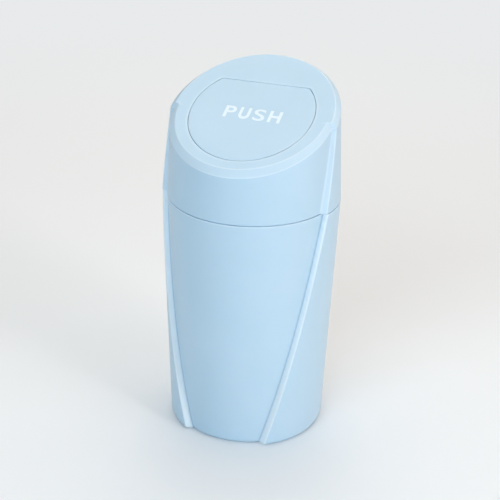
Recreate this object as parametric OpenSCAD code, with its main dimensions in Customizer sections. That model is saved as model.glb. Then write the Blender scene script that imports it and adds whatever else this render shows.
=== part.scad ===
// Car trash bin for a cup holder: a tapered bin with a raised side panel, a lift-off lid with a
// slanted top, and a sprung push flap. Millimetres. The front, the low side of the lid, faces -Y.

/* [Bin] */
// Height of the seam between the bin and the lid
seam_z = 112; // [90:1:140]
// Radius of the bare front at the seam
drum_r = 37.3; // [35:0.1:44]
// Draft of the bare front below the seam, degrees
bin_draft = 2.06; // [0.5:0.02:2.6]
// Wall thickness of the bin and the lid
wall = 2; // [1.6:0.1:2.4]
// Thickness of the floor
floor_t = 2.2; // [1.6:0.1:4]
// Rounding of the lower outer edge
foot_round = 2.5; // [1.5:0.1:3]
// Width of the foot ring that the bin stands on
foot_w = 4; // [2:0.5:6]
// Depth of the recess inside the foot ring
recess_h = 1.2; // [0.6:0.1:2]
// Height of the shadow gap at the seam
seam_gap = 0.45; // [0.2:0.05:0.8]
// Depth of the shadow gap at the seam
seam_depth = 0.8; // [0.4:0.1:1.1]

/* [Side panel] */
// How far the side panel stands out of the drum at the seam
panel_rise = 2.7; // [2.2:0.1:3.2]
// Draft of the side panel below the seam, degrees
panel_bin_draft = 1.93; // [0.5:0.02:2.4]
// Draft of the side panel above the seam, degrees
panel_lid_draft = 2.98; // [1.9:0.02:3.2]
// Angle from the front to the panel's step, at the seam, degrees
step_at = 73.6; // [68:0.2:78]
// Direction of the step's face on the bin, from the front, degrees
step_bin_face = 66; // [60:0.5:70]
// Lean of the step on the bin, degrees
step_bin_lean = 12.5; // [9:0.1:14]
// Direction of the step's face on the lid, from the front, degrees
step_lid_face = 81; // [78:0.5:84]
// Lean of the step on the lid, degrees
step_lid_lean = 14.2; // [12:0.1:18]

/* [Lid] */
// Height of the lid's top above the seam, on the axis
lid_h = 38.7; // [36:0.1:50]
// Slope of the lid's top, degrees
slope = 23.7; // [18:0.1:25]
// Draft of the bare front above the seam, degrees
lid_draft = 1.83; // [0.5:0.01:2]
// Width of the chamfer round the top, seen from above
chamfer_w = 2.3; // [1:0.1:3]
// Drop of the chamfer
chamfer_h = 2; // [1:0.1:3]
// Thickness of the lid's top plate
plate_t = 2.2; // [1.8:0.1:2.6]
// How far the collar reaches down into the bin
collar_h = 9; // [5:0.5:14]
// Thickness of the collar
collar_t = 1.6; // [1.2:0.1:2]
// Clearance between the collar and the bin
collar_gap = 0.25; // [0.1:0.05:0.4]
// Height of the root that joins the collar to the lid's wall
collar_root = 2.5; // [1.5:0.5:5]

/* [Flap] */
// Width of the lid's flat ring in front of the flap
ring_w = 4.6; // [3.8:0.1:6]
// Distance from the lid's axis forward to the centre of the round edge
flap_shift = 2; // [1.5:0.1:2.5]
// Width of the lid's flat field behind the flap's straight edge
back_w = 18.1; // [16:0.1:19]
// Gap between the flap and the lid
flap_gap = 0.4; // [0.3:0.05:0.6]
// Thickness of the flap
flap_t = 2; // [1.6:0.1:2.2]
// How far the lip reaches under the lid
lip_reach = 1.1; // [0.8:0.1:1.4]
// Thickness of the lip
lip_t = 1.3; // [1:0.1:1.6]
// Clearance between the lip and the lid
lip_gap = 0.1; // [0.05:0.05:0.3]
// Width of the rim under the flap's round edge
rim_w = 2.2; // [1.4:0.1:3]

/* [Hinge] */
// Radius of the hinge pin
pin_r = 1; // [0.9:0.05:1.1]
// Radial running clearance of the pin
pin_gap = 0.05; // [0.03:0.01:0.08]
// How far the pin lies behind the flap's straight edge, along the slope
hinge_back = 3; // [2.8:0.1:3.4]
// Depth of the pin under the lid's top
hinge_depth = 5; // [4.8:0.1:5.4]
// Clearance between the knuckles and the lid's plate
knuckle_gap = 0.4; // [0.3:0.05:0.5]
// Width of a knuckle
knuckle_w = 6; // [4:0.5:7]
// Distance from the end of the flap's straight edge to a knuckle
knuckle_edge = 3.7; // [3:0.1:6]
// Thickness of the flap's arms
arm_t = 2; // [1.5:0.1:2.2]
// How far an arm's rib runs forward under the flap
arm_rib = 9; // [6:0.5:12]
// Side clearance between a knuckle and its clip
clip_gap = 0.5; // [0.2:0.1:0.8]
// Width of a clip
clip_w = 2.5; // [2:0.1:3]
// Wall of a clip round the pin
clip_wall = 1.8; // [1.4:0.1:2]
// Mouth of a clip, as a share of the pin's width
clip_mouth = 0.85; // [0.8:0.01:0.9]

/* [Spring] */
// Diameter of the spring's wire
wire_d = 0.8; // [0.6:0.05:0.9]
// Play between the spring and the pin
spring_play = 0.6; // [0.4:0.05:0.7]
// Turns of the spring
spring_turns = 9; // [5:1:12]
// Gap between neighbouring turns
turn_gap = 0.15; // [0.1:0.05:0.3]
// Length of the leg that presses on the lid
lid_leg = 9; // [6:0.5:9]
// Length of the leg that presses on the flap
flap_leg = 14; // [9:0.5:18]

/* [Colours] */
// Moulded plastic
shell_color = "#BFDCEE";
// Spring and pin steel
steel_color = "#B9BDC2";

/* [Hidden] */

$fn = 96;
eps = 0.01;
// Edge of the blocks that stand for endless half spaces
big = 300;
// Steps in one turn of the spring, and sides of its wire
turn_steps = 16;
wire_sides = 8;

panel_r = drum_r + panel_rise;
top_z = seam_z + lid_h;
// A height safely above the lid's highest point
over_z = top_z + panel_r * tan(slope) + 5;

// The flap's round edge follows the lid's rim, and its straight edge is a chord of it
rim_front = wall_r(drum_r, lid_draft, top_z) + rim_shift(drum_r, lid_draft);
rim_back = wall_r(panel_r, panel_lid_draft, top_z) - rim_shift(panel_r, panel_lid_draft);
flap_r = rim_front - chamfer_w - ring_w - flap_gap - flap_shift;
straight_y = rim_back - chamfer_w - back_w - flap_gap;
flap_back = straight_y + flap_shift;
straight_w = 2 * sqrt(flap_r * flap_r - flap_back * flap_back);

// Where the pin lies: along the slope from the axis, and as a point in the model
pin_along = straight_y / cos(slope) + hinge_back;
pin_y = pin_along * cos(slope) + hinge_depth * sin(slope);
pin_z = top_z + pin_along * sin(slope) - hinge_depth * cos(slope);
knuckle_r = hinge_depth - plate_t - knuckle_gap;
bore_r = pin_r + pin_gap;
knuckle_out = straight_w / 2 - knuckle_edge;
knuckle_in = knuckle_out - knuckle_w;
clip_in = knuckle_out + clip_gap;
pin_len = 2 * (clip_in + clip_w) + 1;
coil_r = pin_r + spring_play + wire_d / 2;
coil_pitch = wire_d + turn_gap;
coil_len = spring_turns * coil_pitch;

// Distance from the axis to the step's face at the seam, for a face that looks that way
function step_offset(face) = drum_r * sin(step_at - face);

// Radius of a drafted wall at a height: it shrinks away from the seam
function wall_r(r, draft, z) = r - tan(draft) * abs(z - seam_z);

// How far a wall's draft moves the middle of its slanted rim forward
function rim_shift(r, draft) = tan(draft) * tan(slope) * wall_r(r, draft, top_z);

// One side of the room in front of the side panel: all that lies before a slanted face
module before_step(face, lean, inset) {
    translate([0, 0, seam_z])
        rotate([0, 0, face])
            translate([step_offset(face) + inset / cos(lean), 0, 0])
                rotate([0, lean, 0])
                    translate([-big, -big / 2, -big / 2])
                        cube(big);
}

// The wedge between the left and the right step, where the drum is bare
module bare_front(face, lean, inset) {
    intersection() {
        before_step(face, lean, inset);
        mirror([1, 0, 0]) before_step(face, lean, inset);
    }
}

// A drafted wall below the seam, with a rounded lower edge where a rounding is given. The wall's
// lower end is set to whole micrometres, so that the arc meets it exactly.
module lower_cone(r, draft, z0, z1, rounding) {
    side_r = round(1000 * wall_r(r, draft, z0 + rounding)) / 1000;
    rotate_extrude() {
        polygon([[0, z0], [side_r - rounding, z0], [side_r, z0 + rounding],
                 [wall_r(r, draft, z1), z1], [0, z1]]);
        if (rounding > 0)
            translate([side_r - rounding, z0 + rounding]) circle(rounding);
    }
}

// The bin's form from one height to another, moved inwards by an inset all round
module bin_form(inset, z0, z1, rounding) {
    lower_cone(drum_r - inset, bin_draft, z0, z1, rounding);
    difference() {
        lower_cone(panel_r - inset, panel_bin_draft, z0, z1, rounding);
        bare_front(step_bin_face, step_bin_lean, inset);
    }
}

module bin_body() {
    recess_r = wall_r(drum_r, bin_draft, 0) - foot_round - foot_w;
    color(shell_color) difference() {
        union() {
            bin_form(0, 0, seam_z - seam_gap, foot_round);
            bin_form(seam_depth, seam_z - seam_gap - 1, seam_z, 0);
        }
        bin_form(wall, recess_h + floor_t, seam_z + eps, foot_round);
        translate([0, 0, -eps]) cylinder(r = recess_r, h = recess_h + eps);
    }
}

// Shear that turns level planes into planes that follow the lid's slope
module on_slope() {
    multmatrix([[1, 0, 0, 0], [0, 1, 0, 0], [0, tan(slope), 1, 0], [0, 0, 0, 1]]) children();
}

// A layer between two depths under the lid's top, parallel to it
module layer(from_depth, to_depth) {
    translate([0, 0, top_z])
        rotate([slope, 0, 0])
            translate([-big / 2, -big / 2, -to_depth])
                cube([big, big, to_depth - from_depth]);
}

// A drafted wall above the seam, cut by the slanted top and its chamfer. The draft moves the
// middle of the slanted rim forward.
module upper_cone(r, draft, z0, depth) {
    rim_r = wall_r(r, draft, top_z);
    rim_y = -rim_shift(r, draft);
    rim_z = top_z - depth / cos(slope) + rim_y * tan(slope);
    run = over_z - z0;
    intersection() {
        translate([0, 0, z0])
            cylinder(r1 = wall_r(r, draft, z0), r2 = wall_r(r, draft, over_z), h = run);
        translate([0, rim_y, rim_z]) on_slope()
            rotate_extrude()
                polygon([[0, 0], [rim_r - chamfer_w, 0],
                         [rim_r + chamfer_w, -2 * chamfer_h], [rim_r + chamfer_w, -big],
                         [0, -big]]);
    }
}

// The lid's form above a height, moved inwards by an inset and down by a depth
module lid_form(inset, z0, depth) {
    upper_cone(drum_r - inset, lid_draft, z0, depth);
    difference() {
        upper_cone(panel_r - inset, panel_lid_draft, z0, depth);
        bare_front(step_lid_face, step_lid_lean, inset);
    }
}

// The collar's form: it follows the bin's inside, but its steps stand upright, so that it
// lifts straight out
module collar_form(inset, z0, z1) {
    lower_cone(drum_r - inset, bin_draft, z0, z1, 0);
    difference() {
        lower_cone(panel_r - inset, panel_bin_draft, z0, z1, 0);
        bare_front(step_bin_face, 0, inset);
    }
}

// Round outline with one straight edge at the high side, as a post through the lid
module flap_outline(r, back) {
    translate([0, -flap_shift, seam_z]) intersection() {
        cylinder(r = r, h = over_z - seam_z);
        translate([-big / 2, back - big, -1]) cube([big, big, big]);
    }
}

// Places its children on the hinge: X along the pin, Y up the slope, Z out of the lid's top
module at_pin() {
    translate([0, pin_y, pin_z]) rotate([slope, 0, 0]) children();
}

// A bar along the pin, from one place to another
module along_pin(r, x0, x1) {
    translate([x0, 0, 0]) rotate([0, 90, 0]) cylinder(r = r, h = x1 - x0);
}

// Snap-in clip that hangs from the lid's plate and opens downwards
module clip() {
    outer_r = bore_r + clip_wall;
    mouth = 2 * pin_r * clip_mouth;
    x1 = clip_in + clip_w;
    difference() {
        union() {
            along_pin(outer_r, clip_in, x1);
            translate([clip_in, -outer_r, 0])
                cube([clip_w, 2 * outer_r, hinge_depth - plate_t / 2]);
        }
        along_pin(bore_r, clip_in - 1, x1 + 1);
        translate([clip_in - 1, -mouth / 2, -2 * outer_r])
            cube([clip_w + 2, mouth, 2 * outer_r]);
    }
}

module cap_shell() {
    inner = wall + collar_gap;
    color(shell_color) {
        difference() {
            lid_form(0, seam_z, 0);
            lid_form(wall, seam_z - eps, plate_t);
            flap_outline(flap_r + flap_gap, flap_back + flap_gap);
        }
        difference() {
            union() {
                collar_form(inner, seam_z - collar_h, seam_z + eps);
                intersection() {
                    lid_form(wall / 2, seam_z, plate_t);
                    translate([0, 0, seam_z]) cylinder(r = panel_r, h = collar_root);
                }
            }
            collar_form(inner + collar_t, seam_z - collar_h - 1, seam_z + collar_root + 1);
        }
        at_pin() {
            clip();
            mirror([1, 0, 0]) clip();
        }
    }
}

// One arm: a knuckle on the pin and a rib that runs forward under the flap
module arm() {
    reach = hinge_back + arm_rib;
    difference() {
        union() {
            along_pin(knuckle_r, knuckle_in, knuckle_out);
            translate([knuckle_in, -reach, knuckle_r - arm_t])
                cube([knuckle_w, reach, arm_t]);
            translate([knuckle_in, -reach, knuckle_r - arm_t])
                cube([knuckle_w, arm_rib - 1, hinge_depth - knuckle_r + arm_t - flap_t / 2]);
        }
        along_pin(bore_r, knuckle_in - 1, knuckle_out + 1);
    }
}

module push_flap() {
    lip_top = plate_t + lip_gap;
    lip_low = lip_top + lip_t;
    pocket_r = flap_r - rim_w;
    color(shell_color) {
        intersection() {
            flap_outline(flap_r, flap_back);
            layer(0, flap_t);
        }
        difference() {
            union() {
                intersection() {
                    flap_outline(flap_r, flap_back);
                    layer(flap_t / 2, lip_low);
                }
                intersection() {
                    flap_outline(flap_r + flap_gap + lip_reach, flap_back);
                    layer(lip_top, lip_low);
                }
            }
            intersection() {
                flap_outline(pocket_r, flap_back + 1);
                layer(flap_t / 2 - eps, lip_low + 1);
            }
        }
        at_pin() {
            arm();
            mirror([1, 0, 0]) arm();
        }
    }
}

module hinge_pin() {
    bevel = pin_r / 4;
    color(steel_color) at_pin()
        translate([-pin_len / 2, 0, 0]) rotate([0, 90, 0])
            rotate_extrude()
                polygon([[0, 0], [pin_r - bevel, 0], [pin_r, bevel], [pin_r, pin_len - bevel],
                         [pin_r - bevel, pin_len], [0, pin_len]]);
}

// Middle line of the spring's wire: a leg on the lid, the coil, and a leg under the flap
spring_line = concat(
    [[-coil_len / 2, lid_leg, coil_r]],
    [for (i = [0 : spring_turns * turn_steps])
        let (a = 90 + 360 * i / turn_steps)
        [-coil_len / 2 + coil_pitch * i / turn_steps, coil_r * cos(a), coil_r * sin(a)]],
    [[coil_len / 2, -flap_leg, coil_r]]);

function unit(v) = v / norm(v);

// Direction of a line of points at one of them, taken over its neighbours
function heading(line, i) =
    unit(line[min(i + 1, len(line) - 1)] - line[max(i - 1, 0)]);

// One ring of the wire, square to the line at a point
function wire_ring(line, i, r) =
    let (t = heading(line, i), v = unit(cross(t, [1, 0, 0])), u = cross(v, t))
    [for (k = [0 : wire_sides - 1])
        let (a = 360 * k / wire_sides)
        line[i] + r * (cos(a) * u + sin(a) * v)];

module wire(line, r) {
    n = len(line);
    points = [for (i = [0 : n - 1]) each wire_ring(line, i, r)];
    sides = [for (i = [0 : n - 2], k = [0 : wire_sides - 1])
        let (a = i * wire_sides, b = (k + 1) % wire_sides)
        [a + k, a + wire_sides + k, a + wire_sides + b, a + b]];
    first = [for (k = [0 : wire_sides - 1]) k];
    last = [for (k = [wire_sides - 1 : -1 : 0]) (n - 1) * wire_sides + k];
    polyhedron(points, concat([first], sides, [last]), convexity = 10);
}

module flap_spring() {
    color(steel_color) at_pin() wire(spring_line, wire_d / 2);
}

bin_body();
cap_shell();
push_flap();
hinge_pin();
flap_spring();
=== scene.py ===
# %% [markdown]
# A car trash bin, dressed for its portrait
#
# The bin is a tapered plastic tub with a raised panel round its sides and back. Its lid is cut
# off at a slant, and a sprung flap fills most of the slanted top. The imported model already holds
# every piece at its real size. Here each moulding gets the soft edges, hairline gaps and satin
# skin of the real thing, worked out as surfaces on a grid.

import math

import bpy
import numpy as np
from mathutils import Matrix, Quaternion, Vector


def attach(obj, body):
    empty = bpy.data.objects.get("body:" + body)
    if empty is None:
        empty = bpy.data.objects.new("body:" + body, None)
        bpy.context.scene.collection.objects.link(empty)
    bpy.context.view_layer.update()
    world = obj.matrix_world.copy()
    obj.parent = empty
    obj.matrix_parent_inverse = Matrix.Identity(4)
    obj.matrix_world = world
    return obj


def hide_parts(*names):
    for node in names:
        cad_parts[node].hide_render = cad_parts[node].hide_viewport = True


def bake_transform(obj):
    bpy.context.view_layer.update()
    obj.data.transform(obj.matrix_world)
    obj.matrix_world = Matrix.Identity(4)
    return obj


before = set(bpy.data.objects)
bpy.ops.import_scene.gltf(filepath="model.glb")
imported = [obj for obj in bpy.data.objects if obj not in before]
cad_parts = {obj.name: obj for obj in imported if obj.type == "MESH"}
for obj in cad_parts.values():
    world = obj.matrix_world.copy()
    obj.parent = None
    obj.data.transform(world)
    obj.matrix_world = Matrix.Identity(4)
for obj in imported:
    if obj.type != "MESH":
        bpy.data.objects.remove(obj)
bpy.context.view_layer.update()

# %% [markdown]
# The driving sizes
#
# All shapes are worked out in millimetres, as a mould maker would write them, and turned into
# metres when a mesh is made. The front, which is the low side of the lid, faces -Y.

# %% Sizes of the mouldings
MM = 0.001
SEAM = 112.0            # height of the seam between bin and lid
DRUM_R = 37.3           # radius of the bare front at the seam
PANEL_RISE = 2.7        # how far the side panel stands out there
WALL = 2.0
FLOOR_TOP = 3.4         # height of the inner floor
FOOT_ROUND = 2.5        # rounding of the lower outer edge
RECESS_R, RECESS_H = 26.8, 1.2      # the hollow inside the foot ring
SEAM_GAP, SEAM_DEPTH = 0.45, 0.8    # the hairline between bin and lid

TOP = SEAM + 38.7       # height of the slanted top on the axis
SLOPE = math.radians(23.7)
PLATE_T = 2.2           # thickness of the slanted plate
CHAMFER_W, CHAMFER_H = 2.3, 2.0     # of the slanted rim: across, and straight down
COLLAR_H, COLLAR_T = 9.0, 1.6       # the collar under the seam, and its wall
COLLAR_GAP, COLLAR_ROOT = 0.25, 2.5     # its play in the bin, and its root above the seam
print(f"seam at {SEAM} mm, top at {TOP:.1f} mm on the axis, slope {math.degrees(SLOPE):.1f} degrees")

# %% [markdown]
# One outline for every level
#
# Cut the bin level at any height and the outline is two arcs: the bare drum in front, and the
# panel, a little larger, behind. A step joins them on each side, and it leans back as it climbs.
# The arcs shrink away from the seam, because a moulding needs draft to leave its mould.
# The step is what gives this bin its look: a crisp crease on the bin, and a wide soft one on the
# lid. So crease and edge have roundings of their own, each a share of the step's rise. The
# columns of the grid run along the step, which keeps the roundings even.

# %% Walls and steps
class Side:
    """One moulding's walls, with angles in degrees: the drafts of drum and panel, the place of
    the step at the seam, and the direction and lean of its face. crease and edge are the radii
    of the step's roundings, as shares of its rise."""

    def __init__(self, drum_draft, panel_draft, step_at, face, lean, crease, edge):
        self.drum_draft = math.tan(math.radians(drum_draft))
        self.panel_draft = math.tan(math.radians(panel_draft))
        self.step_at = math.radians(step_at)
        self.face = math.radians(face)
        self.lean = math.radians(lean)
        self.crease = crease
        self.edge = edge


BIN_SIDE = Side(2.06, 1.93, 75.0, 67, 13.1, 0.05, 0.33)
LID_SIDE = Side(1.83, 2.98, 71.5, 97, 15.0, 0.6, 0.28)
COLLAR_SIDE = Side(2.06, 1.93, 73.6, 66, 0, 0.3, 0.3)

# Columns of the half outline, from the middle of the front to the middle of the back
FRONT_COLS, ROUND_COLS, FACE_COLS = 48, 8, 3
BACK_ANGLES = np.concatenate([np.linspace(89, 124, 44), np.linspace(124.4, 133.2, 23),
                              np.linspace(134, 180, 56)])
FRONT_SHARE = np.linspace(0, 1, FRONT_COLS, endpoint=False)
ROUND_SHARE = np.linspace(0, 1, ROUND_COLS)
FACE_SHARE = np.linspace(0, 1, FACE_COLS + 2)[1:-1]
BACK_SHARE = (BACK_ANGLES[1:] - BACK_ANGLES[0]) / (BACK_ANGLES[-1] - BACK_ANGLES[0])
COLUMNS = FRONT_COLS + 2 * ROUND_COLS + FACE_COLS + len(BACK_SHARE)


def outline(z, inset, side, step_in=None):
    """Half of a level outline. z holds a height for each column, in rows of COLUMNS.

    The step's face is a plane at the distance DRUM_R sin(step_at - face) + tan(lean) (z - SEAM)
    from the axis, so it meets a circle of radius r at the angle face + arcsin(distance / r).
    Beside it the outline is laid out flat, with s along the circle and h out of it: a rounding
    is then a circle that touches the drum or the panel and the face. step_in moves the face
    back, by the inset where nothing else is given."""
    away = np.abs(z - SEAM)
    drum = DRUM_R - side.drum_draft * away - inset
    panel = DRUM_R + PANEL_RISE - side.panel_draft * away - inset
    step_in = inset if step_in is None else step_in
    distance = (DRUM_R * math.sin(side.step_at - side.face) + step_in / math.cos(side.lean)
                + math.tan(side.lean) * (z - SEAM))
    start = side.face + np.arcsin(distance / drum)
    run = (side.face + np.arcsin(distance / panel) - start) * drum
    rise = panel - drum
    turn = np.arctan2(rise, run)
    crease, edge = side.crease * rise, side.edge * rise
    reach_in = crease * np.tan(turn / 2)
    reach_out = edge * np.tan(turn / 2)

    a = FRONT_COLS
    b = a + ROUND_COLS
    c = b + FACE_COLS
    d = c + ROUND_COLS
    s, h = np.zeros_like(z), np.zeros_like(z)
    bend = turn[:, a:b] * ROUND_SHARE
    s[:, a:b] = crease[:, a:b] * np.sin(bend) - reach_in[:, a:b]
    h[:, a:b] = crease[:, a:b] * (1 - np.cos(bend))
    low = reach_in[:, b:c]
    length = np.hypot(run, rise)[:, b:c] - low - reach_out[:, b:c]
    along = low + length * FACE_SHARE
    s[:, b:c] = along * np.cos(turn[:, b:c])
    h[:, b:c] = along * np.sin(turn[:, b:c])
    bend = turn[:, c:d] * (1 - ROUND_SHARE)
    s[:, c:d] = run[:, c:d] + reach_out[:, c:d] - edge[:, c:d] * np.sin(bend)
    h[:, c:d] = rise[:, c:d] - edge[:, c:d] * (1 - np.cos(bend))

    angle = start + s / drum
    radius = drum + h
    angle[:, :a] = FRONT_SHARE * (start - reach_in / drum)[:, :a]
    after = (start + (run + reach_out) / drum)[:, d:]
    angle[:, d:] = after + (math.pi - after) * BACK_SHARE
    radius[:, d:] = panel[:, d:]
    return np.stack([radius * np.sin(angle), -radius * np.cos(angle), z], axis=-1)


def level(z, inset, side):
    """One row of the outline at a single height."""
    return outline(np.full((1, COLUMNS), float(z)), inset, side)


def levels(profile, side):
    """Rows for a profile of (inset, height) points."""
    return np.concatenate([level(z, inset, side) for inset, z in profile])


print("columns in half an outline:", COLUMNS)

# %% [markdown]
# Rounded profiles
#
# A mould has no sharp corner that it can avoid. This helper takes a plain profile with corners
# and gives each corner its own radius, so every lip and rim below starts as a short list.

# %% Helper: round the corners of a profile
def rounded(points, radii, steps=6):
    """Points of a profile with an arc in place of each inner corner.

    An arc of radius r that turns by an angle t starts r tan(t / 2) before the corner. Its points
    swing about a centre that lies square to the first leg."""
    points = [np.array(p, float) for p in points]
    out = [points[0]]
    for before, corner, after, r in zip(points, points[1:], points[2:], radii):
        first = (corner - before) / np.linalg.norm(corner - before)
        second = (after - corner) / np.linalg.norm(after - corner)
        turn = math.atan2(first[0] * second[1] - first[1] * second[0], first @ second)
        if r <= 0 or abs(turn) < 1e-6:
            out.append(corner)
            continue
        side = math.copysign(1, turn)
        normal = side * np.array([-first[1], first[0]])
        centre = corner - first * r * math.tan(abs(turn) / 2) + normal * r
        swing = np.linspace(0, abs(turn), steps + 1)[:, None]
        out.extend(centre + r * (first * np.sin(swing) - normal * np.cos(swing)))
    out.append(points[-1])
    return out


# %% [markdown]
# From rows to a mesh
#
# Each shape is a stack of closed rings. The left half mirrors the right one. The faces between
# two rings are quads, a ring can close to a single point, and a shell whose last ring meets its
# first is a tube. The sign of the volume says whether the faces look outwards.
#
# Beside its place, a point can hold a number of painted light: above zero for a painted highlight
# on an edge or a narrow face, below zero for painted shade in a crease. The plastic's colour reads
# it later. It is set by row and column, so it follows a rounding exactly, which a filter on the
# finished mesh can't do where its faces are long and thin.

# %% Helpers: mirror the half, and skin a stack of rings
def whole(rows):
    """Half rings and their mirror image, as closed rings."""
    left = rows[:, -2:0:-1] * np.array([-1.0, 1.0, 1.0])
    return np.concatenate([rows, left], axis=1)


def whole_painted_light(painted_light):
    """The painted-light numbers of the half rings, for closed rings."""
    return np.concatenate([painted_light, painted_light[:, -2:0:-1]], axis=1)


def bell(count, height):
    """Numbers that swell and sink over a rounding: height sin(pi u)."""
    return height * np.sin(math.pi * np.linspace(0, 1, count))


def step_painted_light(crease, face, edge):
    """The numbers of painted light and shade across the step, for each column of the half outline.
    """
    numbers = np.zeros(COLUMNS)
    a = FRONT_COLS
    numbers[a:a + len(crease)] = crease
    numbers[a + ROUND_COLS:a + ROUND_COLS + FACE_COLS] = face
    numbers[a + ROUND_COLS + FACE_COLS:a + 2 * ROUND_COLS + FACE_COLS] = edge
    return numbers


def ring_faces(rows, cols, tube):
    """Quads between neighbouring rings: corner (i, j) with (i, j + 1) and the next ring."""
    i, j = np.meshgrid(np.arange(rows if tube else rows - 1), np.arange(cols), indexing="ij")
    k, n = (i + 1) % rows, (j + 1) % cols
    return np.stack([i * cols + j, i * cols + n, k * cols + n, k * cols + j], -1).reshape(-1, 4)


def skin(rings, tube=False, start_point=None, end_point=None):
    """Vertices and faces of a stack of rings, with fans where an end point is given."""
    rows, cols = rings.shape[:2]
    verts = rings.reshape(-1, 3)
    faces = [list(f) for f in ring_faces(rows, cols, tube).tolist()]
    j = np.arange(cols)
    if start_point is not None:
        tip = len(verts)
        verts = np.concatenate([verts, [start_point]])
        faces += np.stack([(j + 1) % cols, j, np.full(cols, tip)], -1).tolist()
    if end_point is not None:
        tip = len(verts)
        verts = np.concatenate([verts, [end_point]])
        last = (rows - 1) * cols
        faces += np.stack([last + j, last + (j + 1) % cols, np.full(cols, tip)], -1).tolist()
    return verts, faces


def outward(verts, faces):
    """The same faces, turned round if the volume that they enclose comes out negative.

    The volume is a sixth of the sum of a . (b x c) over the triangles."""
    tris = np.array([t for f in faces for t in ((f[0], f[1], f[2]),)
                     + (((f[0], f[2], f[3]),) if len(f) == 4 else ())])
    a, b, c = verts[tris[:, 0]], verts[tris[:, 1]], verts[tris[:, 2]]
    volume = np.einsum("ij,ij->i", a, np.cross(b, c)).sum() / 6
    return (faces if volume > 0 else [f[::-1] for f in faces]), abs(volume)


def moulding(name, parts, painted_light=None):
    """One object from closed parts, in metres, with smooth shading. Its last argument holds a number
    for each point of the first part: how much painted highlight pales it, or painted shade dims it."""
    verts, faces, count, volume = [], [], 0, 0.0
    for part_verts, part_faces in parts:
        part_faces, part_volume = outward(part_verts, part_faces)
        verts.append(part_verts)
        faces += [[v + count for v in f] for f in part_faces]
        count += len(part_verts)
        volume += part_volume
    mesh = bpy.data.meshes.new(name)
    mesh.from_pydata((np.concatenate(verts) * MM).tolist(), [], faces)
    mesh.polygons.foreach_set("use_smooth", np.ones(len(faces), dtype=bool))
    if painted_light is not None:
        values = np.zeros(count)
        values[:painted_light.size] = painted_light.ravel()
        mesh.attributes.new("painted_light", "FLOAT", "POINT").data.foreach_set("value", values)
    mesh.validate()
    mesh.update()
    obj = bpy.data.objects.new(name, mesh)
    bpy.context.scene.collection.objects.link(obj)
    print(f"{name}: {len(faces)} faces, {volume / 1000:.1f} cm3")
    return obj


# %% [markdown]
# The bin
#
# Its profile runs from the middle of the underside, over the foot ring, up the outside, across
# the rim, down the inside and back to the middle of the floor. Just under the seam the wall
# steps in by less than a millimetre: that notch is the dark hairline between bin and lid.

# %% Build the bin
def disc(radius, z, rim_row):
    """A circle at one height whose points face those of a rim row."""
    angle = np.arctan2(rim_row[..., 0], -rim_row[..., 1])
    flat = np.full_like(angle, float(z))
    return np.stack([radius * np.sin(angle), -radius * np.cos(angle), flat], -1)


def toward_axis(row, shares):
    """Copies of a row, pulled towards the axis: x and y times each share."""
    return np.concatenate([row * np.array([k, k, 1.0]) for k in shares])


def climb(low, high, count):
    """Heights from low to high, without the first and the last."""
    return np.linspace(low, high, count + 2)[1:-1]


foot = level(0, FOOT_ROUND, BIN_SIDE)
quarter = np.linspace(0, math.pi / 2, 9)
foot_arc = [(FOOT_ROUND * (1 - math.sin(q)), FOOT_ROUND * (1 - math.cos(q))) for q in quarter]
lower_rim = SEAM - SEAM_GAP
outer = foot_arc + [(0, z) for z in climb(FOOT_ROUND, lower_rim - 0.8, 60)]
rim = rounded([(0, lower_rim - 0.8), (0, lower_rim - 0.35), (0, lower_rim),
               (SEAM_DEPTH, lower_rim), (SEAM_DEPTH, SEAM), (WALL, SEAM), (WALL, SEAM - 1)],
              [0, 0.15, 0.05, 0.08, 0.25], 4)
inner_low = FLOOR_TOP + FOOT_ROUND
inner = [(WALL, z) for z in climb(SEAM - 1, inner_low, 20)]
inner_arc = [(WALL + FOOT_ROUND * (1 - math.cos(q)), inner_low - FOOT_ROUND * math.sin(q))
             for q in quarter]
floor_edge = level(FLOOR_TOP, WALL + FOOT_ROUND, BIN_SIDE)
UNDER_ROWS = 5          # the recess and the foot ring, before the outer wall
bin_rows = np.concatenate([
    disc(RECESS_R * 0.5, RECESS_H, foot), disc(RECESS_R - 0.3, RECESS_H, foot),
    disc(RECESS_R, RECESS_H - 0.2, foot), disc(RECESS_R, 0.2, foot), disc(RECESS_R + 0.2, 0, foot),
    levels(outer + rim + inner + inner_arc, BIN_SIDE),
    toward_axis(floor_edge, (0.9, 0.6, 0.3)),
])
# Painted light on the bin: painted shade in the step's crease, a painted highlight on the step's
# face and edge, and on the rounding at the top of the wall under the hairline.
bin_painted_light = np.zeros(bin_rows.shape[:2])
across = step_painted_light(np.linspace(-0.9, -0.4, ROUND_COLS), [0.85, 1.0, 1.0],
                  [1.0, 1.0, 1.0, 0.95, 0.8, 0.55, 0.3, 0.0])
wall_end = UNDER_ROWS + len(outer) + 1      # the first row of the rim ends the wall
bin_painted_light[UNDER_ROWS:wall_end] = across
bin_painted_light[wall_end:wall_end + 6] = np.maximum(across, bell(7, 0.6)[1:, None])
bin_mesh = skin(whole(bin_rows), start_point=[0, 0, RECESS_H], end_point=[0, 0, FLOOR_TOP])
bin_body = moulding("bin_moulding", [bin_mesh], whole_painted_light(bin_painted_light))

# %% [markdown]
# The slanted top
#
# The lid's walls climb until they meet a plane that rises to the back. There a chamfer with two
# soft edges turns the wall into the top. Each column finds its own height: it is moved to where
# it should be on the slanted plane, its outline is worked out again at that height, and after a
# few rounds both agree.

# %% Rows that follow the slope
def plane(y, depth=0.0):
    """Height of a layer at a depth under the slanted top."""
    return TOP + math.tan(SLOPE) * y - depth / math.cos(SLOPE)


def slanted(inset, drop, side, step_in, rounds=25):
    """A row of the outline whose points lie a drop straight under the slanted plane."""
    z = np.full((1, COLUMNS), TOP)
    for _ in range(rounds):
        z = plane(outline(z, inset, side, step_in)[..., 1]) - drop
    return outline(z, inset, side, step_in)


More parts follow.
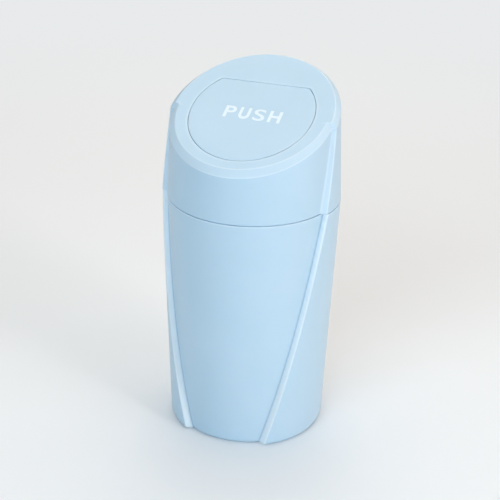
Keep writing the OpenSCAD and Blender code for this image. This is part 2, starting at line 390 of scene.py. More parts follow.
def slanted_rows(profile, side, step_in):
    """Slanted rows for a profile of (inset, drop) points. The step's face stays one plane
    while the chamfer cuts across it."""
    return np.concatenate([slanted(inset, drop, side, step_in) for inset, drop in profile])


wall_front, wall_back = slanted(0, CHAMFER_H, LID_SIDE, 0)[0, [0, -1], 2]
print(f"the lid's wall ends {wall_front:.1f} mm up in front and {wall_back:.1f} mm up behind")


def wall_rows(low_row, high_row, inset, side, count):
    """Rows of a wall between a low row and a high row, at even shares of the height."""
    shares = np.linspace(0, 1, count + 2)[1:-1, None]
    z = low_row[..., 2] + (high_row[..., 2] - low_row[..., 2]) * shares
    return outline(z, inset, side)


# %% [markdown]
# The opening and the flap share one outline
#
# It is a circle with one straight side at the hinge, seen from above. Around the axis its
# distance is the smaller of two: to the circle, and to the straight side. A soft minimum rounds
# the two corners where they meet. The opening is the flap's outline, wider by the gap.

# %% The D-shaped outline
FLAP_SHIFT, FLAP_GAP = 2.0, 0.4     # the circle's middle lies this far before the axis
RING_W, BACK_W = 4.6, 18.1          # flat ring between chamfer and opening: in front, and behind
CORNER = 1.6            # reach of the soft minimum at the two corners


def rim_radius(radius, draft):
    """Radius of a wall where it meets the top on the axis, and the shift of its slanted rim."""
    r = radius - draft * (TOP - SEAM)
    return r, draft * math.tan(SLOPE) * r


drum_rim, drum_shift = rim_radius(DRUM_R, LID_SIDE.drum_draft)
panel_rim, panel_shift = rim_radius(DRUM_R + PANEL_RISE, LID_SIDE.panel_draft)
FLAP_R = drum_rim + drum_shift - CHAMFER_W - RING_W - FLAP_GAP - FLAP_SHIFT
STRAIGHT_Y = panel_rim - panel_shift - CHAMFER_W - BACK_W - FLAP_GAP
print(f"flap radius {FLAP_R:.2f} mm, straight edge {STRAIGHT_Y:.2f} mm behind the axis")


def d_outline(angle, grow, depth):
    """A D-shaped row at a depth under the top: the soft minimum of the distances to the circle,
    cos-law r = d + sqrt(d^2 + R^2 - shift^2) with d = shift cos(angle), and to the chord."""
    d = FLAP_SHIFT * np.cos(angle)
    to_circle = d + np.sqrt(d ** 2 + (FLAP_R + grow) ** 2 - FLAP_SHIFT ** 2)
    behind = np.maximum(-np.cos(angle), 1e-3)
    to_chord = np.minimum((STRAIGHT_Y + grow) / behind, 200.0)
    mix = np.clip(0.5 + 0.5 * (to_chord - to_circle) / CORNER, 0, 1)
    r = to_chord + (to_circle - to_chord) * mix - CORNER * mix * (1 - mix) * 0.5
    x, y = r * np.sin(angle), -r * np.cos(angle)
    return np.stack([x, y, plane(y, depth)], -1)


# %% [markdown]
# The lid's outside
#
# The lid is one closed tube of rings: up the outside, over the chamfer, across the flat ring,
# down through the opening, back under the plate, down the inside and round the collar that plugs
# into the bin. It could be made by cutting a cup with a slanted plane and bevelling the cut, but
# a bevel doesn't survive the step that runs into it. Rings that follow the slope do.

# %% Wall, chamfer, ring and opening
seam_edge = rounded([(WALL + COLLAR_GAP, SEAM), (0, SEAM), (0, SEAM + 0.5)], [0.15], 4)[1:]
lid_low = levels(seam_edge, LID_SIDE)
top_profile = rounded([(0, CHAMFER_H + 2.5), (0, CHAMFER_H), (CHAMFER_W, 0), (CHAMFER_W + 1.6, 0)],
                      [0.9, 1.2], 8)
lid_rim = slanted_rows(top_profile, LID_SIDE, 0)
lid_outer = wall_rows(lid_low[-1:], lid_rim[:1], 0, LID_SIDE, 40)
round_angle = np.arctan2(lid_rim[-1:, :, 0], -lid_rim[-1:, :, 1])
edge_profile = rounded([(1.4, 0), (0, 0), (0, PLATE_T), (1.0, PLATE_T)], [0.15, 0.15], 5)
opening = np.concatenate([d_outline(round_angle, FLAP_GAP + out, depth)
                          for out, depth in edge_profile])
field = lid_rim[-1:] + (opening[:1] - lid_rim[-1:]) * np.array([1, 2, 3])[:, None, None] / 4

print(f"opening: {2 * (FLAP_R + FLAP_GAP):.1f} mm across")

# %% [markdown]
# The lid's inside
#
# The inner wall keeps the thickness of the moulding everywhere, as a mould maker wants it. Near
# the seam it steps in, and the collar hangs from that step with a little play all round.

# %% Inner wall and collar
under = PLATE_T / math.cos(SLOPE)
inner_profile = rounded([(WALL + CHAMFER_W + 1, under), (WALL + CHAMFER_W, under),
                         (WALL, under + CHAMFER_H), (WALL, under + CHAMFER_H + 2)], [0.6, 0.6], 3)
lid_inner_top = slanted_rows(inner_profile, LID_SIDE, WALL)
root_low = level(SEAM + COLLAR_ROOT, WALL, LID_SIDE)
lid_inner = wall_rows(lid_inner_top[-1:], root_low, WALL, LID_SIDE, 20)
collar_in = WALL + COLLAR_GAP + COLLAR_T
collar = levels(rounded([(WALL + 0.1, SEAM + COLLAR_ROOT), (collar_in, SEAM + COLLAR_ROOT),
                         (collar_in, SEAM - COLLAR_H), (WALL + COLLAR_GAP, SEAM - COLLAR_H),
                         (WALL + COLLAR_GAP, SEAM)], [0.4, 0.4, 0.6], 4), COLLAR_SIDE)
lid_rows = np.concatenate([lid_low, lid_outer, lid_rim, field, opening, lid_inner_top, lid_inner,
                           root_low, collar])
print("rings in the lid:", len(lid_rows))

# %% [markdown]
# Painted highlights on the lid
#
# The step's roundings, both edges of the chamfer and the edge of the opening get a painted
# highlight.
# Its number swells over each rounding. The narrow faces between them keep a share of it.

# %% The lid's painted highlights, row by row
FACE_HIGHLIGHT, CHAMFER_HIGHLIGHT = 0.4, 0.32     # the narrow faces get a little painted highlight too
lid_painted_light = np.zeros(lid_rows.shape[:2])
across = step_painted_light(np.maximum(bell(ROUND_COLS, 0.5), FACE_HIGHLIGHT * ROUND_SHARE), FACE_HIGHLIGHT,
                  [0.4, 0.6, 0.75, 0.75, 0.65, 0.4, 0.2, 0.0])
wall_end = len(lid_low) + len(lid_outer) + 1
lid_painted_light[:wall_end] = across
over = np.concatenate([np.maximum(bell(9, 0.6), CHAMFER_HIGHLIGHT * np.linspace(0, 1, 9)),
                       np.maximum(bell(9, 0.55), CHAMFER_HIGHLIGHT * np.linspace(1, 0, 9)), [0]])[:, None]
chamfer_end = wall_end + len(over)
lid_painted_light[wall_end:chamfer_end] = np.maximum(over, 0.4 * across)
# A painted highlight on the opening's edge.
lid_painted_light[chamfer_end + len(field):][:6] = bell(6, 0.45)[:, None]      # the opening's edge
lid_parts = [skin(whole(lid_rows), tube=True)]
print(f"rubbed points: {(lid_painted_light > 0).mean():.0%} of the half lid")

# %% [markdown]
# The hinge's own frame
#
# Pin, knuckles and clips are easiest in a frame of their own: x along the pin, y up the slope
# and z out of the lid's top. One turn about X puts them in place.

# %% Helpers: bars and blocks on the pin
HINGE_BACK, HINGE_DEPTH = 3.0, 5.0      # the pin: behind the straight side, and under the top
PIN_R, PIN_GAP, KNUCKLE_GAP = 1.0, 0.05, 0.4    # play in the bores, and under the plate
KNUCKLE_W, KNUCKLE_EDGE = 6.0, 3.7      # length, and distance from the straight side's end
ARM_T, ARM_RIB = 2.0, 9.0               # the arm's thickness, and its reach under the flap
CLIP_GAP, CLIP_W, CLIP_WALL = 0.5, 2.5, 1.8
CLIP_MOUTH = 0.85                       # share of the pin's radius, so that it snaps in
STRAIGHT_W = 2 * math.sqrt(FLAP_R ** 2 - (STRAIGHT_Y + FLAP_SHIFT) ** 2)
KNUCKLE_R = HINGE_DEPTH - PLATE_T - KNUCKLE_GAP
KNUCKLE_OUT = STRAIGHT_W / 2 - KNUCKLE_EDGE
KNUCKLE_IN = KNUCKLE_OUT - KNUCKLE_W
BORE_R = PIN_R + PIN_GAP
pin_along = STRAIGHT_Y / math.cos(SLOPE) + HINGE_BACK
PIN_AT = np.array([0, pin_along * math.cos(SLOPE) + HINGE_DEPTH * math.sin(SLOPE),
                   TOP + pin_along * math.sin(SLOPE) - HINGE_DEPTH * math.cos(SLOPE)])
print(f"pin {PIN_AT[1]:.2f} mm behind the axis, {PIN_AT[2]:.2f} mm up")


def on_hinge(points):
    """Points of the hinge's frame in the model: y turns to (cos, sin) of the slope."""
    x, y, z = points[..., 0], points[..., 1], points[..., 2]
    return PIN_AT + np.stack([x, y * math.cos(SLOPE) - z * math.sin(SLOPE),
                              y * math.sin(SLOPE) + z * math.cos(SLOPE)], -1)


def turned(profile, count=48):
    """Rings of (x, radius) points spun about the pin."""
    a = np.linspace(0, 2 * math.pi, count, endpoint=False)
    return np.stack([np.stack([np.full(count, x), r * np.cos(a), r * np.sin(a)], -1)
                     for x, r in profile])


def extruded(outline_yz, x0, x1, bevel=0.2):
    """A closed outline in y and z, carried from x0 to x1, with its rim pulled in at both ends by
    a bevel along the corner bisectors."""
    p = np.array(outline_yz, float)
    ahead, behind = np.roll(p, -1, 0) - p, p - np.roll(p, 1, 0)
    normal = np.stack([ahead[:, 1] + behind[:, 1], -ahead[:, 0] - behind[:, 0]], -1)
    normal /= np.maximum(np.linalg.norm(normal, axis=1, keepdims=True), 1e-9)
    area = 0.5 * np.sum(p[:, 0] * np.roll(p[:, 1], -1) - p[:, 1] * np.roll(p[:, 0], -1))
    small = p - normal * bevel * math.copysign(1, area)
    rings = [(x0, small), (x0 + bevel, p), (x1 - bevel, p), (x1, small)]
    return np.stack([np.column_stack([np.full(len(q), x), q]) for x, q in rings])


def capped(rings):
    """A stack of rings with a flat face on each end."""
    verts, faces = skin(rings)
    cols = rings.shape[1]
    faces.append(list(range(cols))[::-1])
    faces.append(list(range(len(verts) - cols, len(verts))))
    return verts, faces


def placed(part):
    """A part of the hinge's frame, moved into the model."""
    return on_hinge(part[0]), part[1]


# %% Add the clips and finish the lid
def clip(side):
    """A clip's outline: round below the pin, straight up to the plate, with a mouth below that
    is narrower than the pin."""
    outer = BORE_R + CLIP_WALL
    mouth = PIN_R * CLIP_MOUTH
    high = HINGE_DEPTH - PLATE_T / 2
    lip_in, lip_out = math.asin(mouth / BORE_R), math.asin(mouth / outer)
    bore = np.linspace(lip_in, 2 * math.pi - lip_in, 40)
    skirt = np.linspace(lip_out, math.pi / 2, 12)
    right = [(outer * math.sin(a), -outer * math.cos(a)) for a in skirt]
    left = [(-y, z) for y, z in right[::-1]]
    inside = [(-BORE_R * math.sin(a), -BORE_R * math.cos(a)) for a in bore]
    shape = right + [(outer, high), (-outer, high)] + left + inside
    x0 = KNUCKLE_OUT + CLIP_GAP
    x0, x1 = (x0, x0 + CLIP_W) if side > 0 else (-x0 - CLIP_W, -x0)
    return placed(capped(extruded(shape, x0, x1, 0.12)))


lid_parts += [clip(1), clip(-1)]
lid = moulding("lid_moulding", lid_parts, whole_painted_light(lid_painted_light))

# %% [markdown]
# The flap
#
# A thin plate with a lip that reaches under the lid and stops it, and a low rim that keeps it
# flat. Its two arms run back under the lid to the pin.

# %% Build the flap
FLAP_T, RIM_W = 2.0, 2.2                    # the plate, and the rim under its edge
LIP_REACH, LIP_T, LIP_GAP = 1.1, 1.3, 0.1   # reach under the lid, thickness, play when shut
lip_top = PLATE_T + LIP_GAP
lip_low = lip_top + LIP_T
flap_angles = np.radians(np.concatenate([np.linspace(0, 122, 110), np.linspace(122.5, 135, 40),
                                         np.linspace(136, 180, 40)]))[None]


def lip_grow(amount):
    """The lip reaches out along the round edge only: its growth fades out at the corners."""
    fade = np.clip((math.radians(126) - flap_angles) / math.radians(3), 0, 1)
    return amount * fade * fade * (3 - 2 * fade)


def side_grow(amount):
    """The gap is narrower along the flap's sides, where the flap moves along it as it swings.
    The growth is a smooth step in and a smooth step out: u u (3 - 2 u)."""
    start = np.clip((flap_angles - math.radians(35)) / math.radians(25), 0, 1)
    end = np.clip((math.radians(123) - flap_angles) / math.radians(8), 0, 1)
    return amount * start * start * (3 - 2 * start) * end * end * (3 - 2 * end)


flap_profile = rounded([(-3, 0), (0, 0), (0, lip_top)], [0.15], 5)
flap_rows = [d_outline(flap_angles, grow + side_grow(0.21), depth)
             for grow, depth in flap_profile]
lip_profile = rounded([(0, lip_top), (LIP_REACH + FLAP_GAP, lip_top),
                       (LIP_REACH + FLAP_GAP, lip_low), (0, lip_low)], [0.15, 0.15], 3)
flap_rows += [d_outline(flap_angles, lip_grow(grow), depth) for grow, depth in lip_profile]
rim_profile = rounded([(-RIM_W + 0.5, lip_low), (-RIM_W, lip_low), (-RIM_W, FLAP_T),
                       (-RIM_W - 1, FLAP_T)], [0.2, 0.4], 3)
flap_rows += [d_outline(flap_angles, grow, depth) for grow, depth in rim_profile]
flap_rows = np.concatenate(flap_rows)


def pulled_in(row, depth, shares):
    """Copies of a flat row, pulled towards the axis along its own layer."""
    xy = np.concatenate([row[..., :2] * k for k in shares])
    return np.concatenate([xy, plane(xy[..., 1:], depth)], -1)


flap_rows = np.concatenate([pulled_in(flap_rows[:1], 0, (0.3, 0.7)), flap_rows,
                            pulled_in(flap_rows[-1:], FLAP_T, (0.7, 0.3))])
# A painted highlight on the flap's rounding between its top and its edge.
flap_painted_light = np.zeros(flap_rows.shape[:2])
flap_painted_light[3:9] = bell(6, 0.6)[:, None]       # the rounding between the top and the edge
flap_parts = [skin(whole(flap_rows), start_point=[0, 0, plane(0, 0)],
                   end_point=[0, 0, plane(0, FLAP_T)])]


def arm(side):
    """A knuckle with its bore, and the arm that joins it to the flap."""
    knuckle = rounded([(0, BORE_R), (0, KNUCKLE_R), (KNUCKLE_W, KNUCKLE_R), (KNUCKLE_W, BORE_R)],
                      [0.3, 0.3], 3)
    x0 = KNUCKLE_IN if side > 0 else -KNUCKLE_OUT
    rings = turned([(x0 + x, r) for x, r in knuckle])
    front = -HINGE_BACK - ARM_RIB
    top, low = KNUCKLE_R, KNUCKLE_R - ARM_T
    under_flap = HINGE_DEPTH - FLAP_T / 2
    shape = rounded([(-BORE_R, low), (front, low), (front, under_flap),
                     (-HINGE_BACK - 1, under_flap), (-HINGE_BACK - 1, top), (-BORE_R, top)],
                    [0.6, 0.1, 0.1, 0.3], 3)
    return [placed(skin(rings, tube=True)),
            placed(capped(extruded(shape, x0 + 0.05, x0 + KNUCKLE_W - 0.05, 0.25)))]


flap = moulding("flap_moulding", flap_parts + arm(1) + arm(-1), whole_painted_light(flap_painted_light))

# %% [markdown]
# Pin and spring
#
# The pin is a length of drawn wire with turned ends. The spring is the same wire thinner, wound
# round the pin: one leg presses on the lid, the other lies under the flap and pushes it shut.
# A helix with two straight ends is a path, and the wire is a circle carried along it.

# %% Build the pin and the spring
WIRE_R, TURNS, TURN_GAP = 0.4, 9, 0.15      # wound with a small gap, so that it can wind up
SPRING_PLAY = 0.6                           # between the pin and the coil
LID_LEG, FLAP_LEG = 9.0, 14.0
pin_half = KNUCKLE_OUT + CLIP_GAP + CLIP_W + 0.5
pin_profile = rounded([(-pin_half, 0.0), (-pin_half, PIN_R), (pin_half, PIN_R), (pin_half, 0.0)],
                      [0.25, 0.25], 4)[1:-1]
pin = moulding("hinge_pin_turned", [placed(capped(turned(pin_profile, 32)))])

coil_r = PIN_R + SPRING_PLAY + WIRE_R
pitch = 2 * WIRE_R + TURN_GAP
coil_half = TURNS * pitch / 2
wind = np.linspace(0, TURNS, TURNS * 28 + 1)
coil = np.stack([-coil_half + pitch * wind, coil_r * np.cos(math.pi / 2 + 2 * math.pi * wind),
                 coil_r * np.sin(math.pi / 2 + 2 * math.pi * wind)], -1)
lid_leg = np.stack([np.full(12, -coil_half), np.linspace(LID_LEG, 0.4, 12),
                    np.full(12, coil_r)], -1)
flap_leg = np.stack([np.full(16, coil_half), np.linspace(-0.4, -FLAP_LEG, 16),
                     np.full(16, coil_r)], -1)
path = np.concatenate([lid_leg, coil, flap_leg])
print(f"spring: {np.linalg.norm(np.diff(path, axis=0), axis=1).sum():.0f} mm of wire")


def wire(path, radius, sides=12):
    """A circle carried along a path: its plane is square to the direction between the two
    neighbouring points, and its first axis stays near X."""
    t = np.gradient(path, axis=0)
    t /= np.linalg.norm(t, axis=1, keepdims=True)
    v = np.cross(t, [1.0, 0, 0])
    v /= np.linalg.norm(v, axis=1, keepdims=True)
    u = np.cross(v, t)
    a = np.linspace(0, 2 * math.pi, sides, endpoint=False)
    return (path[:, None] + radius * (np.cos(a)[None, :, None] * u[:, None]
                                      + np.sin(a)[None, :, None] * v[:, None]))


spring = moulding("flap_spring_wire", [placed(capped(wire(path, WIRE_R)))])

# %% [markdown]
# The word on the flap
#
# A push flap says what to do with it, as a switch says ON. The word is plain, in a plain face,
# printed in white: a film with its own tiny thickness, sunk a hair into the plastic.

# %% Print the word
# Each letter, its width in millimetres, and how far its outline is fattened before it is
# stretched, so that all the strokes come out alike
LETTERS = (("P", 5.1, 0.016), ("U", 5.0, 0.036), ("S", 5.3, 0.014), ("H", 5.6, 0.03))
LETTER_GAP, WORD_H = 1.6, 7.3
WORD_X, WORD_ALONG = 0.7, -3.0      # the word's middle, across and up the slope
PRINT_T, PRINT_SUNK = 0.05, 0.01


def letter(text, left, width, weight):
    """Points and faces of one letter, stretched to its width and to the word's height, and laid
    on the slope: y turns to (cos, sin) of the slope, and z to (-sin, cos)."""
    curve = bpy.data.curves.new("letter", "FONT")
    curve.body = text
    curve.extrude = 0.5
    curve.offset = weight
    source = bpy.data.objects.new("letter", curve)
    bpy.context.scene.collection.objects.link(source)
    bpy.context.view_layer.update()
    mesh = bpy.data.meshes.new_from_object(source)
    bpy.data.objects.remove(source)
    points = np.array([v.co for v in mesh.vertices])
    faces = [list(p.vertices) for p in mesh.polygons]
    low, high = points.min(0), points.max(0)
    x, y, z = ((points - low) / (high - low)).T
    x = left + width * x
    y = WORD_ALONG + WORD_H * (y - 0.5)
    z = PRINT_T * z - PRINT_SUNK
    return np.stack([x, y * math.cos(SLOPE) - z * math.sin(SLOPE),
                     TOP + y * math.sin(SLOPE) + z * math.cos(SLOPE)], -1), faces


word_w = sum(width for _, width, _ in LETTERS) + LETTER_GAP * (len(LETTERS) - 1)
letter_left = WORD_X - word_w / 2
word_points, word_faces = np.empty((0, 3)), []
for text, width, weight in LETTERS:
    letter_points, letter_faces = letter(text, letter_left, width, weight)
    word_faces += [[v + len(word_points) for v in face] for face in letter_faces]
    word_points = np.concatenate([word_points, letter_points])
    letter_left += width + LETTER_GAP
word_mesh = bpy.data.meshes.new("word_print")
word_mesh.from_pydata((word_points * MM).tolist(), [], word_faces)
word = bpy.data.objects.new("word_print", word_mesh)
bpy.context.scene.collection.objects.link(word)
print(f"word: {word_w:.1f} mm long, {len(word_faces)} faces")

# %% [markdown]
# Materials
#
# The shell is polypropylene, injection moulded in a finely blasted mould. To the eye that is a
# pale colour with a soft, slightly milky depth, a broad sheen and no hard mirror image. The
# colour wanders by a hair where the melt flowed, and the blasted skin breaks up the sheen.
#
# Here the edges carry a painted highlight and the bin's crease a painted shade: the number that each
# point holds mixes the colour both ways. The materials' noise reads Object coordinates, so its grain
# has a true size in millimetres.

# %% Helpers: colours and nodes
def linear(hex_colour):
    """sRGB hex to linear RGBA: ((c + 0.055) / 1.055) ^ 2.4, and c / 12.92 near black."""
    c = np.array([int(hex_colour[i:i + 2], 16) for i in (1, 3, 5)]) / 255
    c = np.where(c <= 0.04045, c / 12.92, ((c + 0.055) / 1.055) ** 2.4)
    return (*c.tolist(), 1.0)


def node(tree, kind, settings=None, links=None, **values):
    """Adds a node, sets its properties and input values, and links sockets to its inputs."""
    n = tree.nodes.new(kind)
    for key, value in (settings or {}).items():
        setattr(n, key, value)
    for key, value in values.items():
        n.inputs[key.replace("_", " ")].default_value = value
    for key, socket in (links or {}).items():
        tree.links.new(socket, n.inputs[key])
    return n


def new_material(name):
    """A material, its node tree and its shader."""
    material = bpy.data.materials.new(name)
    material.use_nodes = True
    tree = material.node_tree
    shader = tree.nodes["Principled BSDF"]
    return material, tree, shader


# %% Satin polypropylene
BLAST_GRAIN = 0.7       # millimetres; real blasting is near 0.05, too fine to show
FLOW_SIZE = 25.0        # millimetres across one cloud of the melt's colour
EDGE_LIGHT, HOLLOW_SHADE = 0.7, 0.45      # how far the painted highlight and the painted shade take the colour at full strength
SHEEN_LOW, SHEEN_HIGH = 0.3, 0.46         # roughness: satin, between a gloss and a matt mould


def polypropylene(name, colour, shade):
    """Pale moulded plastic: a slow colour drift, a painted highlight on edges, painted shade in
    creases, and a fine skin in roughness and bump. To the eye: soft, clean and slightly waxy, with
    wide highlights."""
    material, tree, shader = new_material(name)
    place = node(tree, "ShaderNodeTexCoord").outputs["Object"]
    flow = node(tree, "ShaderNodeTexNoise", links={"Vector": place},
                Scale=1 / (FLOW_SIZE * MM), Detail=3.0, Roughness=0.5)
    drift = node(tree, "ShaderNodeValToRGB", links={"Fac": flow.outputs["Fac"]})
    drift.color_ramp.elements[0].position = 0.3
    drift.color_ramp.elements[0].color = linear(shade)
    drift.color_ramp.elements[1].position = 0.7
    drift.color_ramp.elements[1].color = linear(colour)
    # Painted light: each point's number mixes the colour towards a pale painted highlight (#F2FAFF)
    # above zero, and towards a painted shade (#7FA6BF) below zero.
    painted_light = node(tree, "ShaderNodeAttribute", {"attribute_name": "painted_light"}).outputs["Fac"]
    painted_highlight = node(tree, "ShaderNodeMapRange", links={"Value": painted_light},
                  From_Min=0, From_Max=1, To_Min=0, To_Max=EDGE_LIGHT)
    lighter = node(tree, "ShaderNodeMixRGB", links={"Fac": painted_highlight.outputs["Result"],
                   "Color1": drift.outputs["Color"]}, Color2=linear("#F2FAFF"))
    sunk = node(tree, "ShaderNodeMapRange", links={"Value": painted_light},
                From_Min=0, From_Max=-1, To_Min=0, To_Max=HOLLOW_SHADE)
    darker = node(tree, "ShaderNodeMixRGB", links={"Fac": sunk.outputs["Result"],
                  "Color1": lighter.outputs["Color"]}, Color2=linear("#7FA6BF"))
    tree.links.new(darker.outputs["Color"], shader.inputs["Base Color"])
    grain = node(tree, "ShaderNodeTexNoise", links={"Vector": place},
                 Scale=1 / (BLAST_GRAIN * MM), Detail=2.0, Roughness=0.6)
    rough = node(tree, "ShaderNodeMapRange", links={"Value": grain.outputs["Fac"]},
                 From_Min=0.3, From_Max=0.7, To_Min=SHEEN_LOW, To_Max=SHEEN_HIGH)
    tree.links.new(rough.outputs["Result"], shader.inputs["Roughness"])
    bump = node(tree, "ShaderNodeBump", links={"Height": grain.outputs["Fac"]},
                Strength=0.12, Distance=0.03 * MM)
    tree.links.new(bump.outputs["Normal"], shader.inputs["Normal"])
    shader.inputs["IOR"].default_value = 1.49
    shader.inputs["Subsurface Weight"].default_value = 0.15
    shader.inputs["Subsurface Radius"].default_value = (0.6, 0.8, 1.0)
    shader.inputs["Subsurface Scale"].default_value = 1.2 * MM
    return material


shell_plastic = polypropylene("satin_polypropylene", "#BFD9EB", "#BBD7E9")

# %% Drawn steel wire
DRAW_LINES = 0.08       # millimetres between the marks that drawing leaves


def drawn_steel(name, colour, shade, roughness):
    """Drawn wire: bright metal whose fine lines run along the pin. To the eye: a long streak of
    light along the wire, where a polished one would mirror the room."""
    material, tree, shader = new_material(name)
    place = node(tree, "ShaderNodeTexCoord").outputs["Object"]
    stretch = node(tree, "ShaderNodeMapping", links={"Vector": place}, Scale=(0.05, 1, 1))
    lines = node(tree, "ShaderNodeTexNoise", links={"Vector": stretch.outputs["Vector"]},
                 Scale=1 / (DRAW_LINES * MM), Detail=2.0)
    tone = node(tree, "ShaderNodeMapRange", links={"Value": lines.outputs["Fac"]},
                To_Min=roughness - 0.06, To_Max=roughness + 0.08)
    tree.links.new(tone.outputs["Result"], shader.inputs["Roughness"])
    bump = node(tree, "ShaderNodeBump", links={"Height": lines.outputs["Fac"]},
                Strength=0.15, Distance=0.01 * MM)
    tree.links.new(bump.outputs["Normal"], shader.inputs["Normal"])
    streaks = node(tree, "ShaderNodeMixRGB", links={"Fac": lines.outputs["Fac"]},
                   Color1=linear(shade), Color2=linear(colour))
    tree.links.new(streaks.outputs["Color"], shader.inputs["Base Color"])
    shader.inputs["Metallic"].default_value = 1.0
    return material


steel = drawn_steel("drawn_steel", "#D6D9DC", "#B9BDC2", 0.28)

# %% White pad-print ink
PAD_MOTTLE = 0.5        # millimetres between the thick and thin spots that the pad leaves


def print_ink(name, thick, thin):
    """Thick white ink with a faint mottle, a little glossier than the plastic round it. To the
    eye: flat opaque white, with a tint of the blue that bounces off its surroundings."""
    material, tree, shader = new_material(name)
    place = node(tree, "ShaderNodeTexCoord").outputs["Object"]
    mottle = node(tree, "ShaderNodeTexNoise", links={"Vector": place},
                  Scale=1 / (PAD_MOTTLE * MM))
    tone = node(tree, "ShaderNodeMapRange", links={"Value": mottle.outputs["Fac"]},
                To_Min=0.25, To_Max=0.4)
    tree.links.new(tone.outputs["Result"], shader.inputs["Roughness"])
    cover = node(tree, "ShaderNodeMixRGB", links={"Fac": mottle.outputs["Fac"]},
                 Color1=linear(thin), Color2=linear(thick))
    tree.links.new(cover.outputs["Color"], shader.inputs["Base Color"])
    return material


ink = print_ink("white_ink", "#EBF6FC", "#DCEDF6")

# %% Dress the pieces
for piece, material in ((bin_body, shell_plastic), (lid, shell_plastic), (flap, shell_plastic),
                        (pin, steel), (spring, steel), (word, ink)):
    piece.data.materials.clear()
    piece.data.materials.append(material)
    print(f"{piece.name} wears {material.name}")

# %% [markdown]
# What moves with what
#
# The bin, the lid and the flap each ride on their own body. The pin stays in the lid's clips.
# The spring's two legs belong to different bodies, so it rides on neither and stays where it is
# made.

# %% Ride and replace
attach(bin_body, "bin")
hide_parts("bin_body")
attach(lid, "cap")
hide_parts("cap_shell")
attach(flap, "flap")
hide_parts("push_flap")
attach(pin, "cap")
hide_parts("hinge_pin")
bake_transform(spring)
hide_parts("flap_spring")
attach(word, "flap")

# %% [markdown]
# The table and the light
#
# A pale plain floor. Seen by the camera it fades into the backdrop's colour, so that no horizon
# cuts the picture from any side. To every other ray it stays a floor, and throws its light back
# at the bin.
#
# The light is that of a room by day. A tall soft light and a narrow strip stand on the right, a
# cool one in front, a large one under the ceiling with a warmer one below it, and a weak one
# behind, so that the back isn't lost. The curved wall then runs from a cool shade on the left to
# a broad pale band on the right, as satin plastic does beside a window.

# %% Floor
floor_mesh = bpy.data.meshes.new("floor")
edge = 6.0              # metres from the axis to each side of the floor
FLOOR_GRAIN = 50 / 3    # millimetres across one cloud of its sheen
floor_mesh.from_pydata([(-edge, -edge, 0), (edge, -edge, 0), (edge, edge, 0), (-edge, edge, 0)],
                       [], [(0, 1, 2, 3)])
floor = bpy.data.objects.new("floor", floor_mesh)
bpy.context.scene.collection.objects.link(floor)
floor_material, floor_tree, floor_shader = new_material("pale_floor")
floor_place = node(floor_tree, "ShaderNodeTexCoord").outputs["Object"]
floor_noise = node(floor_tree, "ShaderNodeTexNoise", links={"Vector": floor_place},
                   Scale=1 / (FLOOR_GRAIN * MM))
floor_rough = node(floor_tree, "ShaderNodeMapRange", links={"Value": floor_noise.outputs["Fac"]},
                   To_Min=0.7, To_Max=0.8)
floor_tree.links.new(floor_rough.outputs["Result"], floor_shader.inputs["Roughness"])
floor_shader.inputs["Base Color"].default_value = linear("#F1F2F3")
floor_shader.inputs["Specular IOR Level"].default_value = 0.1
floor_mesh.materials.append(floor_material)

# %% Fade the floor into the backdrop, for the camera alone
PALE = "#E8EAEB"
FADE_FROM, FADE_TO = 0.2, 0.8       # metres from the axis
away = node(floor_tree, "ShaderNodeVectorMath", {"operation": "LENGTH"},
            links={"Vector": floor_place})
far = node(floor_tree, "ShaderNodeMapRange", {"interpolation_type": "SMOOTHSTEP"},
           links={"Value": away.outputs["Value"]}, From_Min=FADE_FROM, From_Max=FADE_TO)
floor_seen = node(floor_tree, "ShaderNodeLightPath").outputs["Is Camera Ray"]
fade = node(floor_tree, "ShaderNodeMath", {"operation": "MULTIPLY"})
floor_tree.links.new(far.outputs["Result"], fade.inputs[0])
floor_tree.links.new(floor_seen, fade.inputs[1])
glow = node(floor_tree, "ShaderNodeEmission", Color=linear(PALE))
floor_mix = node(floor_tree, "ShaderNodeMixShader", links={"Fac": fade.outputs["Value"]})
floor_tree.links.new(floor_shader.outputs["BSDF"], floor_mix.inputs[1])
floor_tree.links.new(glow.outputs["Emission"], floor_mix.inputs[2])
floor_tree.links.new(floor_mix.outputs["Shader"],
                     floor_tree.nodes["Material Output"].inputs["Surface"])


# %% Lights
def softbox(name, place, target, size, power, colour):
    """An area light that looks at a target and is never in the picture itself."""
    light = bpy.data.lights.new(name, "AREA")
    light.shape = "RECTANGLE"
    light.size, light.size_y = size
    light.energy = power
    light.color = linear(colour)[:3]
    obj = bpy.data.objects.new(name, light)
    obj.location = place
    obj.rotation_mode = "QUATERNION"
    obj.rotation_quaternion = (Vector(target) - Vector(place)).to_track_quat("-Z", "Y")
    obj.visible_camera = False
    bpy.context.scene.collection.objects.link(obj)
    return obj


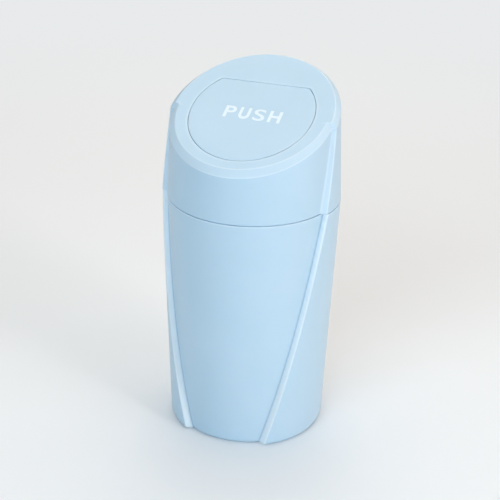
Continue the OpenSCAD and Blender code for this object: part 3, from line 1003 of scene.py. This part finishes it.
middle = (0, 0, 0.1)
softbox("right", (0.94, -0.2, 0.42), middle, (0.55, 0.8), 2.55, "#F8FBFF")
strip = softbox("right_strip", (0.92, -0.4, 0.25), middle, (0.2, 0.5), 2.75, "#FFF6F0")
strip.visible_glossy = False        # or its mirror image would blind the top from the left
softbox("front", (-0.15, -1.1, 0.75), middle, (0.9, 0.6), 8.4, "#DCF1FF")
softbox("ceiling", (0, 0.6, 2.4), middle, (3, 3), 42, "#FFFBF5")
softbox("overhead", (-0.25, 0.3, 0.95), middle, (0.9, 0.8), 1.6, "#FFF0E0")
softbox("behind", (-0.3, 1.03, 0.5), middle, (0.8, 0.8), 2.2, "#FFFFFF")

# %% Backdrop
world = bpy.data.worlds.new("studio")
world.use_nodes = True
sky = world.node_tree
room = node(sky, "ShaderNodeBackground", Color=linear("#F2F6FA"), Strength=0.045)
wall = node(sky, "ShaderNodeBackground", Color=linear(PALE), Strength=1.0)
seen = node(sky, "ShaderNodeLightPath").outputs["Is Camera Ray"]
sky_mix = node(sky, "ShaderNodeMixShader", links={"Fac": seen})
sky.links.new(room.outputs["Background"], sky_mix.inputs[1])
sky.links.new(wall.outputs["Background"], sky_mix.inputs[2])
sky.links.new(sky_mix.outputs["Shader"], sky.nodes["World Output"].inputs["Surface"])
bpy.context.scene.world = world
bpy.context.scene.view_settings.view_transform = "Standard"

# %% [markdown]
# The camera
#
# It stands where the photograph was taken from: half a metre off, above the rim and to the
# right of the front, with a slight roll. The photograph cuts the bin off below, so the lens
# looks a little lower and wider, and takes in the whole bin.

# %% Camera
CAMERA_AT = Vector((0.1507, -0.4473, 0.3055))
CAMERA_AIM = Vector((0.0, 0.0, 0.0835))
CAMERA_ROLL = math.radians(1.36)
LENS_MM, SENSOR_MM = 82.0, 36.0
camera_data = bpy.data.cameras.new("camera")
camera_data.lens = LENS_MM
camera_data.sensor_width = SENSOR_MM
camera = bpy.data.objects.new("camera", camera_data)
camera.location = CAMERA_AT
camera.rotation_mode = "QUATERNION"
camera.rotation_quaternion = ((CAMERA_AIM - CAMERA_AT).to_track_quat("-Z", "Y")
                              @ Quaternion((0, 0, 1), CAMERA_ROLL))
bpy.context.scene.collection.objects.link(camera)
bpy.context.scene.camera = camera
print(f"the camera stands {(CAMERA_AIM - CAMERA_AT).length:.2f} m from its aim")
